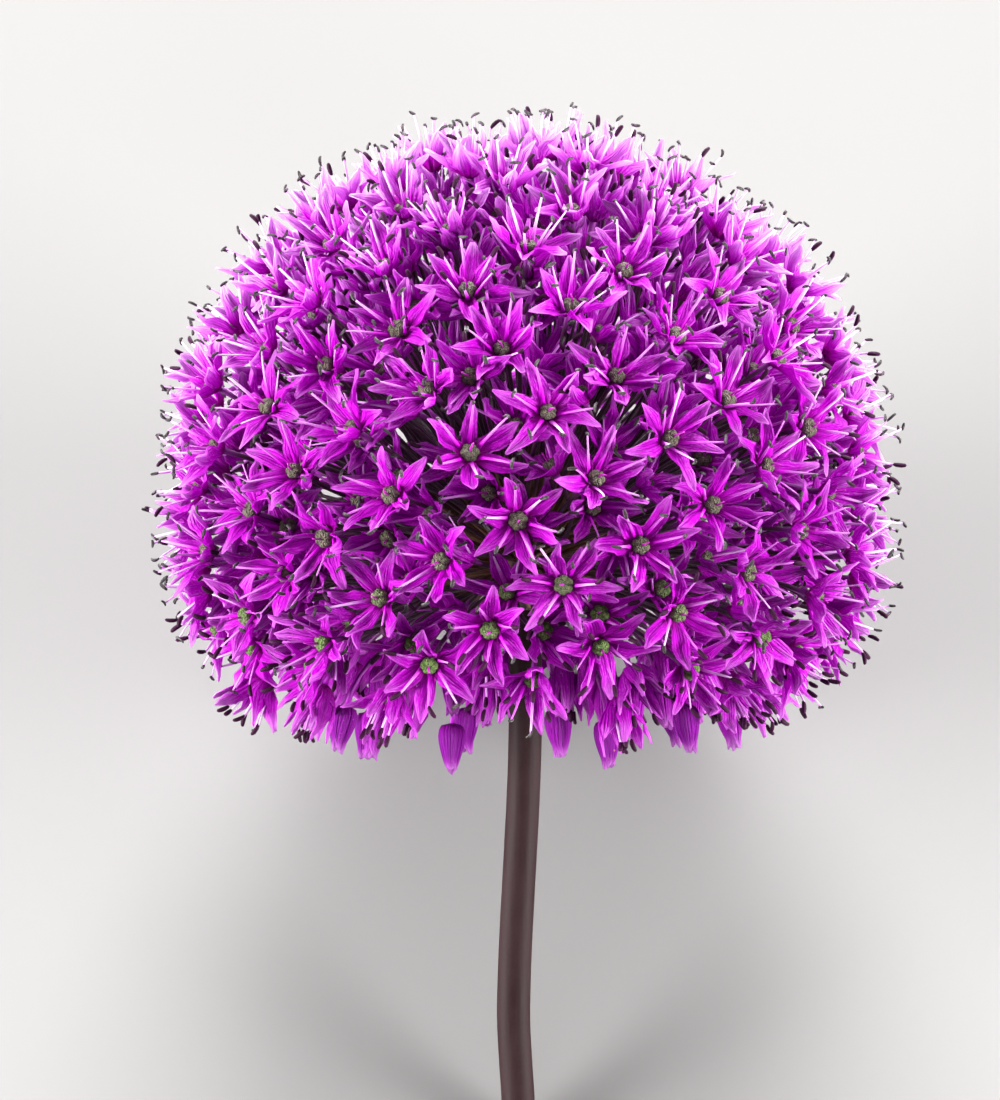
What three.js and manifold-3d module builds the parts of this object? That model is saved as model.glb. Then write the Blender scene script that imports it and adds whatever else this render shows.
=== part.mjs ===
// Allium flower head on a short length of its stem, lying on a surface.
//
// The flower is described upright: its own origin is where the flower stalks spring from
// the stem, +Z points to the crown of the head and -Y to the side that faces the viewer.
// The finished flower is then laid down, so that the head and the cut end of the stem
// both touch z = 0. All sizes are millimetres.

import * as THREE from "three";
import { mergeVertices } from "three/addons/utils/BufferGeometryUtils.js";
import Module from "manifold-3d";

const wasm = await Module();
wasm.setup();

// The round head
const HEAD_CENTRE = new THREE.Vector3(0, 0, 11);
const HEAD_RADIUS = 51.1; // from the head's centre to the hearts of its outermost florets
const FLORET_COUNT = 210; // florets of the outer layer
const LAST_ANGLE = rad(146); // the head is open round the stem, past this angle from the crown
const HALF_OPEN_ANGLE = rad(124); // florets past this angle are only half open
const BUD_ANGLE = rad(133); // and past this one they are closed buds
const GOLDEN_ANGLE = Math.PI * (3 - Math.sqrt(5));
const RADIUS_SPREAD = 2.6; // how much nearer the head's centre a floret may sit
const BUD_INSET = 3; // how much nearer still the last buds sit
const BUD_SPREAD = 7; // and how unevenly they do

// A floret
const TEPALS = 6;
const TEPAL_LENGTH = 8.8;
const STAMEN_LENGTH = 9;
const STAMEN_RADIUS = 0.5;
const THROAT_RADIUS = 3.15; // ring between the feet of the tepals, if they lay flat
const THROAT_HEIGHT = 0.7;
const OVARY_HEIGHT = 2.4;
const FLORET_DEPTH = 2; // from the floret's heart back to the end of its stalk
const BUD_LENGTH = 7.2;
const BUD_RADIUS = 2.15;

// Stalks, receptacle and stem
const STALK_SIDES = 3;
const STALK_FOOT_RADIUS = 0.42;
const STALK_TOP_RADIUS = 0.52;
const STALK_ROOT = 3; // the stalks start inside the receptacle, this far from its middle
const STALK_ARCH = 5; // how far the stalk of a hanging bud arches over
const RECEPTACLE_PROFILE = [
  [0, 5.3],
  [2.9, 4.8],
  [4.9, 2.6],
  [5.6, 0],
  [4.8, -2.8],
  [3.1, -5],
  [2.6, -6.2],
  [0, -6.2],
];
const RECEPTACLE_SIDES = 12;
const JOIN_GAP = 0.3;
const SLIVER = 0.01; // crossings finer than this are smoothed away where pieces are fused
const STEM_RADIUS = 2.5;
const STEM_SIDES = 12;
const STEM_STEPS = 10;
const STEM_END = 83.8; // how far the cut end lies below the receptacle's middle
const STEM_LEAN = 1.8; // how far the stem bows to one side
const STEM_RECOVERY = 0.9; // and how much of that its cut end takes back

// How it lies
const LYING_TILT = rad(33.5); // slope of the stem against the surface
const RECEPTACLE_PLACE = new THREE.Vector3(-0.3, 2.1, 48.4); // above the middle of the footprint

const PURPLE = 0xa21fb0;
const STEM_BROWN = 0x4d3f43;

const UP = new THREE.Vector3(0, -Math.cos(LYING_TILT), Math.sin(LYING_TILT));

function rad(degrees) {
  return (degrees * Math.PI) / 180;
}

/** A repeatable number from 0 to 1 for one floret and one purpose. */
function draw(index, purpose) {
  const wave = Math.sin(index * 12.9898 + purpose * 78.233) * 43758.5453;
  return wave - Math.floor(wave);
}

/** 0 before start, 1 past end and a smooth step between. */
function ease(start, end, value) {
  return THREE.MathUtils.smoothstep(value, start, end);
}

/** Height above the surface of a point of the upright flower once it is laid down. */
function heightLying(point) {
  return point.dot(UP) + RECEPTACLE_PLACE.z;
}

/** Where floret `index` sits, which way it faces and how far it has opened. */
function floretAt(index) {
  const share = (index + 0.5) / FLORET_COUNT;
  const polar = Math.acos(1 - share * (1 - Math.cos(LAST_ANGLE)));
  const turn = index * GOLDEN_ANGLE;
  const outward = new THREE.Vector3(
    Math.sin(polar) * Math.cos(turn),
    Math.sin(polar) * Math.sin(turn),
    Math.cos(polar),
  );
  const youth = ease(HALF_OPEN_ANGLE - rad(10), BUD_ANGLE + rad(6), polar);
  const inset = RADIUS_SPREAD * draw(index, 1) + (BUD_INSET + BUD_SPREAD * draw(index, 7)) * youth;
  const heart = HEAD_CENTRE.clone().addScaledVector(outward, HEAD_RADIUS - inset);
  const droop = 0.75 * ease(HALF_OPEN_ANGLE - rad(8), BUD_ANGLE + rad(4), polar);
  const axis = heart.clone().normalize().lerp(outward, 0.4);
  axis.x += 0.5 * (draw(index, 2) - 0.5);
  axis.y += 0.5 * (draw(index, 3) - 0.5);
  axis.z += 0.5 * (draw(index, 4) - 0.5);
  axis.normalize().lerp(new THREE.Vector3(0, 0, -1), droop).normalize();
  const side = new THREE.Vector3(axis.z, axis.x, axis.y).cross(axis).normalize();
  side.applyAxisAngle(axis, rad(60) * draw(index, 5));
  const opened = rad(50) + rad(16) * ease(rad(20), rad(85), polar);
  const spread = THREE.MathUtils.lerp(
    opened + rad(12) * (draw(index, 6) - 0.5),
    rad(24),
    ease(HALF_OPEN_ANGLE - rad(4), BUD_ANGLE, polar),
  );
  const floret = { index, polar, heart, axis, side, spread, closed: polar > BUD_ANGLE };
  floret.stamenTips = ring(TEPALS, 0, floret, STAMEN_LENGTH, Math.max(spread - rad(24), rad(6)));
  floret.tepalTips = ring(TEPALS, 0, floret, TEPAL_LENGTH, spread);
  liftOff(floret);
  return floret;
}

/** Points round the floret's axis, `length` from its heart and `angle` off its axis. */
function ring(count, offset, floret, length, angle) {
  return Array.from({ length: count }, (_, k) => {
    const turn = ((k + offset) / count) * 2 * Math.PI;
    const across = floret.side.clone().applyAxisAngle(floret.axis, turn);
    return floret.heart
      .clone()
      .addScaledVector(floret.axis, length * Math.cos(angle))
      .addScaledVector(across, length * Math.sin(angle));
  });
}

/** Raises a floret that would reach below the surface until it only touches it. */
function liftOff(floret) {
  const reach = [...floret.stamenTips, ...floret.tepalTips];
  floret.lift = Math.max(0, -Math.min(...reach.map(heightLying)));
  for (const point of [floret.heart, ...reach]) {
    point.addScaledVector(UP, floret.lift);
  }
}

/** Points on a circle round the floret's axis, `ahead` of its heart. */
function circle(count, offset, floret, radius, ahead) {
  const length = Math.hypot(radius, ahead);
  return ring(count, offset, floret, length, Math.atan2(radius, ahead));
}

/** Rings of three points up the stalk, from inside the receptacle to the floret. */
function stalkRings(floret) {
  const top = floret.heart.clone().addScaledVector(floret.axis, -FLORET_DEPTH);
  const foot = top.clone().setLength(STALK_ROOT);
  const spine = [foot, top];
  if (floret.polar > HALF_OPEN_ANGLE) {
    const middle = foot.clone().lerp(top, 0.6);
    middle.addScaledVector(floret.axis, -STALK_ARCH);
    spine.splice(1, 0, middle);
  }
  return spine.map((point, k) => {
    const share = k / (spine.length - 1);
    const radius = THREE.MathUtils.lerp(STALK_FOOT_RADIUS, STALK_TOP_RADIUS, share);
    const along = k === 0 ? top.clone().normalize() : floret.axis;
    const across = floret.side.clone().addScaledVector(along, -floret.side.dot(along));
    across.normalize();
    return Array.from({ length: STALK_SIDES }, (_, s) => {
      const spoke = across.clone().applyAxisAngle(along, (s / STALK_SIDES) * 2 * Math.PI);
      return point.clone().addScaledVector(spoke, radius);
    });
  });
}

/** A closed shell that is built up from points and triangles. */
class Shell {
  constructor() {
    this.points = [];
    this.faces = [];
  }

  add(points) {
    const first = this.points.length;
    this.points.push(...points);
    return points.map((_, k) => first + k);
  }

  /** Joins two rings with as many points each. */
  tube(low, high) {
    for (let k = 0; k < low.length; k += 1) {
      const next = (k + 1) % low.length;
      this.faces.push([low[k], low[next], high[next]], [low[k], high[next], high[k]]);
    }
  }

  /** Joins a ring to one point ahead of it. */
  fan(rim, tip) {
    rim.forEach((point, k) => this.faces.push([point, rim[(k + 1) % rim.length], tip]));
  }

  /** Joins a ring of three points to a longer ring ahead of it. */
  flare(low, high) {
    const step = high.length / low.length;
    const half = step / 2;
    low.forEach((point, k) => {
      for (let s = -half; s < half; s += 1) {
        const here = (k * step + s + high.length) % high.length;
        this.faces.push([point, high[(here + 1) % high.length], high[here]]);
      }
      const between = (k * step + half) % high.length;
      this.faces.push([point, low[(k + 1) % low.length], high[between]]);
    });
  }

  solid() {
    return new wasm.Manifold(
      new wasm.Mesh({
        numProp: 3,
        vertProperties: new Float32Array(this.points.flatMap((p) => p.toArray())),
        triVerts: new Uint32Array(this.faces.flat()),
      }),
    );
  }
}

/** A stalk with an open or half-open star of six tepals round a pointed ovary. */
function starSolid(floret) {
  const shell = new Shell();
  const rings = stalkRings(floret).map((points) => shell.add(points));
  shell.faces.push([...rings[0]].reverse());
  rings.slice(1).forEach((high, k) => shell.tube(rings[k], high));
  const radius = THROAT_RADIUS * Math.sin(floret.spread);
  const throat = shell.add(circle(TEPALS, 0.5, floret, radius, THROAT_HEIGHT));
  const tips = shell.add(floret.tepalTips);
  const outline = tips.flatMap((tip, k) => [tip, throat[k]]);
  shell.flare(rings.at(-1), outline);
  const [ovary] = shell.add(circle(1, 0, floret, 0, OVARY_HEIGHT));
  shell.fan(throat, ovary);
  tips.forEach((tip, k) => shell.faces.push([throat.at(k - 1), tip, throat[k]]));
  return shell.solid();
}

/** A stalk with a closed bud: round shoulders and a narrow mouth. */
function budSolid(floret) {
  const shell = new Shell();
  const rings = stalkRings(floret).map((points) => shell.add(points));
  shell.faces.push([...rings[0]].reverse());
  rings.slice(1).forEach((high, k) => shell.tube(rings[k], high));
  const shoulder = BUD_LENGTH * 0.28 - FLORET_DEPTH;
  const belly = shell.add(circle(TEPALS, 0, floret, BUD_RADIUS, shoulder));
  shell.flare(rings.at(-1), belly);
  const [mouth] = shell.add(circle(1, 0, floret, 0, BUD_LENGTH - FLORET_DEPTH));
  shell.fan(belly, mouth);
  return shell.solid();
}

/** One stamen, as a three-sided spike: the one of the six that reaches furthest. */
function stamenSolid(floret) {
  const reach = (tip) => (floret.lift > 0 ? -heightLying(tip) : tip.distanceTo(HEAD_CENTRE));
  const tip = floret.stamenTips.reduce((best, next) => (reach(next) > reach(best) ? next : best));
  const root = floret.heart.clone().addScaledVector(floret.axis, THROAT_HEIGHT);
  const along = tip.clone().sub(root).normalize();
  const across = floret.axis.clone().cross(along).normalize();
  const shell = new Shell();
  const foot = shell.add(
    Array.from({ length: 3 }, (_, s) => {
      const spoke = across.clone().applyAxisAngle(along, (s / 3) * 2 * Math.PI);
      return root.clone().addScaledVector(spoke, STAMEN_RADIUS);
    }),
  );
  shell.faces.push([...foot].reverse());
  shell.fan(foot, shell.add([tip])[0]);
  return shell.solid();
}

/** The swollen top of the stem that all the flower stalks spring from. */
function receptacleSolid() {
  const profile = RECEPTACLE_PROFILE.map(([r, z]) => new THREE.Vector2(r, z)).reverse();
  const lathe = new THREE.LatheGeometry(profile, RECEPTACLE_SIDES);
  lathe.rotateX(Math.PI / 2);
  return solidFrom(lathe);
}

/** A manifold solid with the shape of a closed three.js geometry. */
function solidFrom(geometry) {
  const bare = geometry.clone();
  bare.deleteAttribute("normal");
  bare.deleteAttribute("uv");
  const merged = mergeVertices(bare, 1e-4);
  return new wasm.Manifold(
    new wasm.Mesh({
      numProp: 3,
      vertProperties: merged.attributes.position.array,
      triVerts: new Uint32Array(merged.index.array),
    }),
  );
}

/** The outside of a solid as a three.js geometry, without loose scraps or sealed hollows. */
function geometryFrom(solid) {
  const bodies = solid.asOriginal().simplify(SLIVER).decompose();
  const mesh = bodies.sort((a, b) => b.volume() - a.volume())[0].getMesh();
  const geometry = new THREE.BufferGeometry();
  geometry.setAttribute("position", new THREE.BufferAttribute(mesh.vertProperties, 3));
  geometry.setIndex(new THREE.BufferAttribute(mesh.triVerts, 1));
  geometry.computeVertexNormals();
  return geometry;
}

/** Receptacle, flower stalks, florets and buds, grown together as one body. */
function umbelGeometry() {
  const solids = [receptacleSolid()];
  for (let index = 0; index < FLORET_COUNT; index += 1) {
    const floret = floretAt(index);
    if (floret.closed) {
      solids.push(budSolid(floret));
    } else {
      solids.push(starSolid(floret), stamenSolid(floret));
    }
  }
  return geometryFrom(wasm.Manifold.union(solids));
}

/** The centre line of the stem: a gentle bow to one side. */
class StemLine extends THREE.Curve {
  getPoint(share, target = new THREE.Vector3()) {
    const start = JOIN_GAP - Math.min(...RECEPTACLE_PROFILE.map(([, z]) => z));
    const drop = THREE.MathUtils.lerp(start, STEM_END, share);
    const lean = STEM_RECOVERY * ease(66, 86, drop) - STEM_LEAN * ease(22, 70, drop);
    return target.set(lean, 0, -drop);
  }
}

/** The bare stem, from just under the receptacle to its cut end. */
function stemGeometry() {
  const section = new THREE.Shape();
  section.absarc(0, 0, STEM_RADIUS, 0, 2 * Math.PI);
  return new THREE.ExtrudeGeometry(section, {
    steps: STEM_STEPS,
    curveSegments: STEM_SIDES,
    extrudePath: new StemLine(),
  });
}

function piece(name, geometry, color, roughness) {
  const material = new THREE.MeshStandardMaterial({ color, roughness, metalness: 0 });
  const mesh = new THREE.Mesh(geometry, material);
  mesh.name = name;
  return mesh;
}

const flower = new THREE.Group();
flower.add(piece("umbel", umbelGeometry(), PURPLE, 0.6));
flower.add(piece("scape", stemGeometry(), STEM_BROWN, 0.55));
flower.rotation.x = LYING_TILT - Math.PI / 2;
flower.position.copy(RECEPTACLE_PLACE);

export default flower;
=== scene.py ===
import math

import bmesh
import bpy
from bpy.props import FloatProperty, FloatVectorProperty, IntProperty, PointerProperty
from mathutils import Matrix, Vector


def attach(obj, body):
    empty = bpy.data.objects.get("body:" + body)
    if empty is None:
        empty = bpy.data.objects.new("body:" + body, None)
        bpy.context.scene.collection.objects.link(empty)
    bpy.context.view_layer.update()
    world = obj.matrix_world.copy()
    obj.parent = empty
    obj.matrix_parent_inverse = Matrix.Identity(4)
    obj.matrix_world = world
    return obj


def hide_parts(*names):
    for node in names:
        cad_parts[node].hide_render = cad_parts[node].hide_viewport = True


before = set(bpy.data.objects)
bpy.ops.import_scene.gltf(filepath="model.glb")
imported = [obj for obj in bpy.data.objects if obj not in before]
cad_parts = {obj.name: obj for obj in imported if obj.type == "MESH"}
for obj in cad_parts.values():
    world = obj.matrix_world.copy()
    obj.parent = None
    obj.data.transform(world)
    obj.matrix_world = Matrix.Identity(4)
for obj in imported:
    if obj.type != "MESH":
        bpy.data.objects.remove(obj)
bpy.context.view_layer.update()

# An allium flower head on a short length of its stem, lying on a surface. The flower is
# described upright, as it grew: its own origin is where the flower stalks spring from the
# stem, +Z points to the crown and -Y to the side that faces the viewer. It is then laid
# down. Sizes are metres.

bl_info = {
    "name": "Allium flower head",
    "version": (1, 0, 0),
    "blender": (4, 5, 0),
    "location": "3D View > Sidebar > Allium",
    "description": "Builds a round allium flower head, floret by floret",
    "category": "Add Mesh",
}

MM = 0.001
DOWN = Vector((0.0, 0.0, -1.0))
GOLDEN_ANGLE = math.pi * (3 - math.sqrt(5))
TEPALS = 6

# The angle between a floret's axis and its tepals.
OPEN_SPREAD = math.radians(50)
SHUT_SPREAD = math.radians(24)

# How the deep florets differ from the outer ones: they crowd towards the crown, are
# further shut, face more freely and are painted less pale: painted shade, as they lie deep inside.
DEEP_CROWDING = 1.15
DEEP_CLOSING = math.radians(22)
DEEP_PAINTED_SHADE = 0.72
DEEP_FREEDOM, OUTER_FREEDOM = 1.1, 0.5


def length_of(name, description, millimetres):
    """A length that a user may change."""
    return FloatProperty(
        name=name, description=description, default=millimetres * MM, unit="LENGTH", precision=5
    )


def angle_of(name, description, degrees):
    """An angle that a user may change."""
    return FloatProperty(
        name=name, description=description, default=math.radians(degrees), subtype="ANGLE"
    )


def share_of(name, description, share):
    """A share from 0 to 1 that a user may change."""
    return FloatProperty(
        name=name, description=description, default=share, min=0.0, max=1.0, subtype="FACTOR"
    )


def colour_of(name, description, red, green, blue):
    """A colour that a user may change."""
    return FloatVectorProperty(
        name=name,
        description=description,
        default=(red, green, blue),
        min=0.0,
        max=1.0,
        subtype="COLOR",
    )


class HeadSizes(bpy.types.PropertyGroup):
    """The round head as a whole."""

    centre_height: length_of("Centre height", "From the receptacle up to the head's centre", 11)
    radius: length_of("Radius", "From the head's centre to its outermost florets' hearts", 51.1)
    radius_spread: length_of("Unevenness", "How much nearer the centre a floret may sit", 2.6)
    deep_inset: length_of("Deep inset", "How much nearer the centre the deep florets sit", 3)
    deep_spread: length_of("Deep unevenness", "How unevenly the deep florets do", 10)
    bud_inset: length_of("Bud inset", "How much nearer the centre the last buds sit", 3)
    bud_spread: length_of("Bud unevenness", "How unevenly the last buds do", 7)
    florets: IntProperty(name="Florets", description="Florets of the outer layer", default=210)
    deep_florets: IntProperty(
        name="Deep florets", description="Florets behind and between them", default=290
    )
    last_angle: angle_of("Last angle", "From the crown to the last bud", 146)
    deep_last_angle: angle_of("Deep last angle", "From the crown to the last deep floret", 137)
    half_open_angle: angle_of("Half-open angle", "From the crown to the half-open florets", 124)
    bud_angle: angle_of("Bud angle", "From the crown to the closed buds", 133)


class FloretSizes(bpy.types.PropertyGroup):
    """One floret."""

    tepal_length: length_of("Tepal length", "From the floret's heart to a tepal's tip", 8.8)
    tepal_width: length_of("Tepal width", "Across the middle of a tepal", 2.8)
    tepal_thickness: length_of("Tepal thickness", "Through a tepal", 0.12)
    fold: share_of("Fold", "How far a tepal's edges rise over its midrib", 0.42)
    stamen_length: length_of("Stamen length", "From the floret's heart to an anther's end", 9)
    filament_foot: length_of("Filament foot", "Half the width of a filament where it springs", 0.44)
    filament_tip: length_of("Filament tip", "Half the width of a filament under its anther", 0.15)
    anther_length: length_of("Anther length", "A fresh anther, end to end", 2.1)
    anther_width: length_of("Anther width", "A fresh anther, across", 0.72)
    ovary_radius: length_of("Ovary radius", "Half the width of the ovary", 1.32)
    style_length: length_of("Style length", "How far the style stands over the ovary", 2)
    bud_length: length_of("Bud length", "A closed bud, from its stalk to its mouth", 7.2)
    bud_radius: length_of("Bud radius", "Half the width of a closed bud", 1.72)
    stalk_end: length_of("Stalk end", "From a closed bud's heart back to its stalk", 2)


class StalkSizes(bpy.types.PropertyGroup):
    """The stalks of the florets, and the receptacle that they spring from."""

    radius: length_of("Stalk radius", "Half the thickness of a flower stalk", 0.34)
    neck_radius: length_of("Neck radius", "Stalk radius right under its floret", 0.5)
    root: length_of("Root", "The stalks start this far from the receptacle's middle", 3)
    sway: share_of("Sway", "Share of a stalk that bends to follow its floret", 0.34)


class StemSizes(bpy.types.PropertyGroup):
    """The bare stem."""

    radius: length_of("Stem radius", "Half the thickness of the stem", 2.5)
    top: length_of("Top", "From the receptacle's middle down to the stem's upper end", 6.5)
    length: length_of("Cut end", "From the receptacle's middle down to the cut end", 83.8)
    lean: length_of("Lean", "How far the stem bows to one side", 1.8)
    recovery: length_of("Recovery", "How much of the lean the cut end takes back", 0.9)


class LyingPose(bpy.types.PropertyGroup):
    """How the flower lies on the surface."""

    tilt: angle_of("Tilt", "Slope of the stem against the surface", 33.5)
    across: length_of("Across", "The receptacle's middle, to the right", -0.3)
    along: length_of("Along", "The receptacle's middle, towards the crown", 2.1)
    height: length_of("Height", "The receptacle's middle, over the surface", 48.4)


class FlowerColours(bpy.types.PropertyGroup):
    """Colours of the flower."""

    # Deep purple: painted shade in each floret's throat, and the own colour of the styles and of
    # flecks on the ovaries.
    tepal_deep_and_throat_shade: colour_of("Tepal, deep", "Towards the throat", 0.40, 0.001, 0.26)
    tepal_main: colour_of("Tepal", "Most of a tepal", 0.55, 0.001, 0.57)
    tepal_pale: colour_of("Tepal, pale", "Edges, tips and streaks", 0.75, 0.13, 0.80)
    # Pale lilac: painted backlight on the crown and side florets, and the own pale tip of every
    # tepal.
    tepal_lilac_and_backlight: colour_of("Tepal, lilac", "Tips of the florets at the crown", 0.87, 0.50, 0.93)
    vein: colour_of("Vein", "Midrib and veins", 0.31, 0.001, 0.36)
    bud: colour_of("Bud", "Closed buds, most of all their shoulders", 0.165, 0.002, 0.215)
    speck: colour_of("Speck", "Tiny blemishes on the tepals", 0.60, 0.24, 0.16)
    filament: colour_of("Filament", "Most of a filament", 0.50, 0.14, 0.54)
    # Pale filaments: painted light at the crown and sides, and the own colour of some filaments at
    # random.
    filament_pale_and_painted_light: colour_of("Filament, pale", "Filaments at the crown", 0.82, 0.54, 0.87)
    anther_fresh: colour_of("Fresh anther", "Anthers that are still closed", 0.016, 0.002, 0.009)
    anther_spent: colour_of("Spent anther", "Curled anthers", 0.022, 0.018, 0.020)
    pollen: colour_of("Pollen", "Dust on spent anthers", 0.13, 0.12, 0.12)
    ovary_young: colour_of("Young ovary", "Ovaries low on the head", 0.11, 0.22, 0.035)
    ovary_old: colour_of("Old ovary", "Ovaries near the crown", 0.115, 0.112, 0.068)
    stalk_dark: colour_of("Stalk", "Most of a flower stalk", 0.035, 0.006, 0.026)
    stalk_tan: colour_of("Stalk foot", "Flower stalks near the receptacle", 0.34, 0.19, 0.10)
    stem: colour_of("Stem", "The bare stem", 0.0105, 0.0028, 0.0034)
    bloom: colour_of("Bloom", "Waxy bloom on the stem", 0.0175, 0.0075, 0.0085)
    flesh: colour_of("Flesh", "Inside of the cut stem", 0.30, 0.36, 0.14)
    floor: colour_of("Floor", "The plain surface it lies on", 0.18, 0.177, 0.174)


class AlliumSettings(bpy.types.PropertyGroup):
    """Everything that shapes and colours the flower."""

    head: PointerProperty(type=HeadSizes)
    floret: PointerProperty(type=FloretSizes)
    stalk: PointerProperty(type=StalkSizes)
    stem: PointerProperty(type=StemSizes)
    lying: PointerProperty(type=LyingPose)
    colours: PointerProperty(type=FlowerColours)


# ---- the rule of the head


def draw(index, purpose):
    """A repeatable number from 0 to 1 for one floret and one purpose."""
    wave = math.sin(index * 12.9898 + purpose * 78.233) * 43758.5453
    return wave - math.floor(wave)


def ease(start, end, value):
    """0 before start, 1 past end and a smooth step between."""
    share = min(1.0, max(0.0, (value - start) / (end - start)))
    return share * share * (3 - 2 * share)


def mix(low, high, share):
    """The value at that share of the way from low to high."""
    return low + (high - low) * share


def laid_down(settings):
    """The matrix that lays the upright flower on the surface."""
    pose = settings.lying
    place = Matrix.Translation((pose.across, pose.along, pose.height))
    return place @ Matrix.Rotation(pose.tilt - math.pi / 2, 4, "X")


class Floret:
    """Where one floret sits, which way it faces, how far it has opened and how pale it is painted:
    with age, and with painted light and shade.
    """

    def __init__(self, index, deep, settings):
        head = settings.head
        self.index = index + head.florets if deep else index
        share = (index + 0.5) / (head.deep_florets if deep else head.florets)
        if deep:
            share **= DEEP_CROWDING
        last_angle = head.deep_last_angle if deep else head.last_angle
        self.polar = math.acos(1 - share * (1 - math.cos(last_angle)))
        turn = self.index * GOLDEN_ANGLE
        flat = math.sin(self.polar)
        outward = Vector((flat * math.cos(turn), flat * math.sin(turn), math.cos(self.polar)))
        youth = self.lowness(head, 10, 6)
        inset = head.radius_spread * draw(self.index, 1)
        inset += (head.bud_inset + head.bud_spread * draw(self.index, 7)) * youth
        if deep:
            inset += head.deep_inset + head.deep_spread * draw(self.index, 8)
        self.heart = Vector((0, 0, head.centre_height)) + outward * (head.radius - inset)
        self.turn_axis(outward, DEEP_FREEDOM if deep else OUTER_FREEDOM, head)
        self.open_up(head)
        self.closed = self.polar > head.bud_angle
        self.age = 1 - self.polar / head.last_angle
        # Paling: partly age, partly painted light and shade. It grows towards the crown, the oldest
        # part, which is painted as if backlit. Florets that face the sides are painted paler, as if
        # lit; those that face the front or back keep their colour, as if in shade.
        self.fade = 0.6 * self.age + 0.4 * (1 - abs(outward.y))
        if deep:
            self.spread -= DEEP_CLOSING * draw(self.index, 9)
            # Painted shade: the deep florets are painted less pale.
            self.fade *= DEEP_PAINTED_SHADE
        self.lift_off(settings)

    def lowness(self, head, before, past):
        """Eases from 0 to 1, from degrees before the half-open florets to degrees past the buds."""
        start = head.half_open_angle - math.radians(before)
        return ease(start, head.bud_angle + math.radians(past), self.polar)

    def turn_axis(self, outward, freedom, head):
        """Faces the floret outwards, and lets it nod the lower it sits."""
        axis = self.heart.normalized().lerp(outward, 0.4)
        axis += Vector([freedom * (draw(self.index, n) - 0.5) for n in (2, 3, 4)])
        nod = 0.75 * self.lowness(head, 8, 4)
        self.axis = axis.normalized().lerp(DOWN, nod).normalized()
        a = self.axis
        side = Vector((a.z, a.x, a.y)).cross(a).normalized()
        self.side = Matrix.Rotation(math.radians(60) * draw(self.index, 5), 3, a) @ side

    def open_up(self, head):
        """Spreads the tepals: wider towards the head's side, and hardly at all in the buds."""
        sideways = ease(math.radians(20), math.radians(85), self.polar)
        opened = OPEN_SPREAD + math.radians(16) * sideways
        opened += math.radians(12) * (draw(self.index, 6) - 0.5)
        self.spread = mix(opened, SHUT_SPREAD, self.lowness(head, 4, 0))
        self.stamen_spread = max(self.spread - math.radians(24), math.radians(6))

    def lift_off(self, settings):
        """Raises a floret that would reach below the surface until it only touches it."""
        lay, sizes = laid_down(settings), settings.floret
        tips = ((sizes.stamen_length, self.stamen_spread), (sizes.tepal_length, self.spread))
        reach = [self.point(k, *tip) for k in range(TEPALS) for tip in tips]
        lift = max(0.0, -min((lay @ p).z for p in reach))
        self.heart += lift * (lay.to_3x3().transposed() @ Vector((0, 0, 1)))

    def spoke(self, k):
        """Direction across the axis towards tepal k, which may be a fraction."""
        return Matrix.Rotation(k * 2 * math.pi / TEPALS, 3, self.axis) @ self.side

    def point(self, k, length, angle):
        """A point at that length from the heart and that angle off the axis, over tepal k."""
        return self.at(k, length * math.sin(angle), length * math.cos(angle))

    def at(self, k, out, ahead):
        """A point that far out from the axis and that far ahead of the heart."""
        return self.heart + self.spoke(k) * out + self.axis * ahead


def all_florets(settings):
    """The florets of the outer layer and the deep ones, from the crown down."""
    head = settings.head
    outer = [Floret(index, False, settings) for index in range(head.florets)]
    deep = [Floret(index, True, settings) for index in range(head.deep_florets)]
    return sorted(outer + deep, key=lambda floret: floret.polar)


def open_florets(settings):
    """All florets but the closed buds."""
    return [floret for floret in all_florets(settings) if not floret.closed]


# ---- small shapes to repeat


def keep(bm, name):
    """Stores a small shape with two attributes: along and across it, from 0 to 1."""
    along = bm.verts.layers.float.new("along")
    across = bm.verts.layers.float.new("across")
    for vert in bm.verts:
        vert[along] = vert.co.x
        vert[across] = (vert.co.y + 1) / 2
    for face in bm.faces:
        face.smooth = True
    mesh = bpy.data.meshes.new(name)
    bm.to_mesh(mesh)
    bm.free()
    return mesh


def blade(lengthwise, crosswise, thickness):
    """A flat blade: x from 0 to 1 along it and y from -1 to 1 across it."""
    bm = bmesh.new()
    bmesh.ops.create_grid(bm, x_segments=lengthwise, y_segments=crosswise, size=1)
    bmesh.ops.solidify(bm, geom=bm.faces[:], thickness=thickness)
    bmesh.ops.translate(bm, verts=bm.verts, vec=(1, 0, thickness / 2))
    bmesh.ops.scale(bm, verts=bm.verts, vec=(0.5, 1, 1))
    crowding_to_tip = 1.35
    for vert in bm.verts:
        vert.co.x = 1 - max(0.0, 1 - vert.co.x) ** crowding_to_tip
    return keep(bm, "blade")


def rod(sides, steps):
    """A round rod of radius 1: x from 0 to 1 along it."""
    bm = bmesh.new()
    bmesh.ops.create_cone(bm, cap_ends=True, segments=sides, radius1=1, radius2=1, depth=1)
    bmesh.ops.rotate(bm, verts=bm.verts, matrix=Matrix.Rotation(math.pi / 2, 3, "Y"))
    bmesh.ops.translate(bm, verts=bm.verts, vec=(0.5, 0, 0))
    lengthwise = [e for e in bm.edges if abs(e.verts[0].co.x - e.verts[1].co.x) > 0.5]
    bmesh.ops.subdivide_edges(bm, edges=lengthwise, cuts=steps - 1, use_grid_fill=True)
    for vert in bm.verts:
        vert.co.x = min(1.0, max(0.0, vert.co.x))
    return keep(bm, "rod")


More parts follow.
